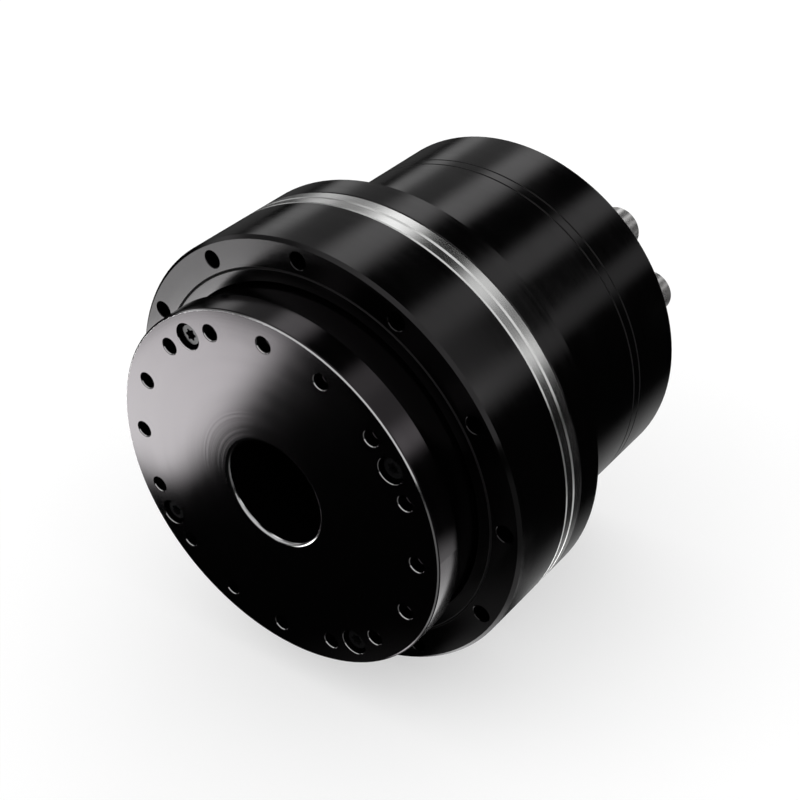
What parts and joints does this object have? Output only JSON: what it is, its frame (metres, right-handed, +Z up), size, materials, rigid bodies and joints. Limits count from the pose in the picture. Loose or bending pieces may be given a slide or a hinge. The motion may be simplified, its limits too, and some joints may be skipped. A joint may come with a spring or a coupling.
{
  "type": "robot joint actuator",
  "caption": "Hollow-shaft robot joint actuator: black turned body with a steel band, a flanged output disc with bolt holes, a motor tube and rear connectors.",
  "frame": {"origin": "centre of the output flange face", "axes": "+Y along the joint axis from the output face to the motor, +Z up through a housing bolt hole, +X to the right seen from the output side"},
  "size_m": [0.142, 0.1299, 0.142],
  "materials": {
    "black_anodised": "black anodised, turned, semi-gloss",
    "bearing_steel": "ground and turned steel",
    "bore_tube": "black anodised",
    "black_screws": "black oxide",
    "seal_rubber": "moulded nitrile rubber",
    "electrical_steel": "plain steel",
    "copper": "enamelled copper wire",
    "magnet": "nickel plated magnet",
    "brake_lining": "friction lining",
    "board": "green solder resist",
    "chips": "moulded epoxy",
    "plain_brass": "plain brass",
    "encoder_disc": "plated encoder disc",
    "connector_steel": "turned nickel plated steel",
    "insulator": "moulded insulator"
  },
  "bodies": {
    "housing": {"front_housing": "black_anodised", "seal_retainer": "black_anodised", "output_seal": "seal_rubber", "bearing_outer_ring": "bearing_steel", "stack_screws": "black_screws", "flexspline": "bearing_steel", "motor_housing": "black_anodised", "front_bearing_outer": "bearing_steel", "shaft_seal": "seal_rubber", "stator_core": "electrical_steel", "stator_windings": "copper", "brake_magnet_body": "electrical_steel", "brake_coil": "copper", "brake_reaction_plate": "electrical_steel", "brake_spacer_posts": "electrical_steel", "bearing_plate": "black_anodised", "rear_bearing_outer": "bearing_steel", "rear_housing": "black_anodised", "rear_screws": "black_screws", "drive_board": "board", "board_standoffs": "plain_brass", "board_screws": "black_screws", "board_components": "chips", "encoder_readers": "chips", "power_connector_shell": "connector_steel", "power_connector_insert": "insulator", "power_connector_contacts": "plain_brass", "signal_connector_shell": "connector_steel", "signal_connector_insert": "insulator", "signal_connector_contacts": "plain_brass"},
    "output": {"output_flange": "black_anodised", "bore_tube": "bore_tube", "flange_screws": "black_screws", "bearing_inner_ring": "bearing_steel", "circular_spline": "bearing_steel", "spline_screws": "black_screws", "output_encoder_disc": "encoder_disc"},
    "rotor": {"motor_shaft": "bearing_steel", "wave_generator_plug": "bearing_steel", "wave_bearing_inner_race": "bearing_steel", "wave_bearing_ball_ring": "bearing_steel", "wave_bearing_outer_race": "bearing_steel", "wave_generator_circlip": "bearing_steel", "front_bearing_inner": "bearing_steel", "rear_bearing_inner": "bearing_steel", "rotor_core": "electrical_steel", "rotor_magnets": "magnet", "brake_hub": "electrical_steel", "brake_friction_disc": "brake_lining", "motor_encoder_disc": "encoder_disc"},
    "roller_set": {"crossed_rollers": "bearing_steel"},
    "brake_armature": {"brake_armature_plate": "electrical_steel"}
  },
  "joints": [
    {"name": "output_spin", "type": "hinge", "parent": "housing", "child": "output", "pos_m": [0, 0, 0], "axis": [0, -1, 0], "continuous": true},
    {"name": "rotor_spin", "type": "hinge", "parent": "housing", "child": "rotor", "pos_m": [0, 0, 0], "axis": [0, -1, 0], "continuous": true, "deforming": ["flexspline"]},
    {"name": "roller_orbit", "type": "hinge", "parent": "housing", "child": "roller_set", "pos_m": [0, 0, 0], "axis": [0, -1, 0], "continuous": true},
    {"name": "brake_release", "type": "slide", "parent": "housing", "child": "brake_armature", "axis": [0, 1, 0], "range_m": [0, 0.0003], "stiffness_N_per_m": 3000, "springref_m": -0.01}
  ],
  "couplings": [
    {"joint": "rotor_spin", "follows": "output_spin", "ratio": 51},
    {"joint": "roller_orbit", "follows": "output_spin", "ratio": 0.5}
  ]
}
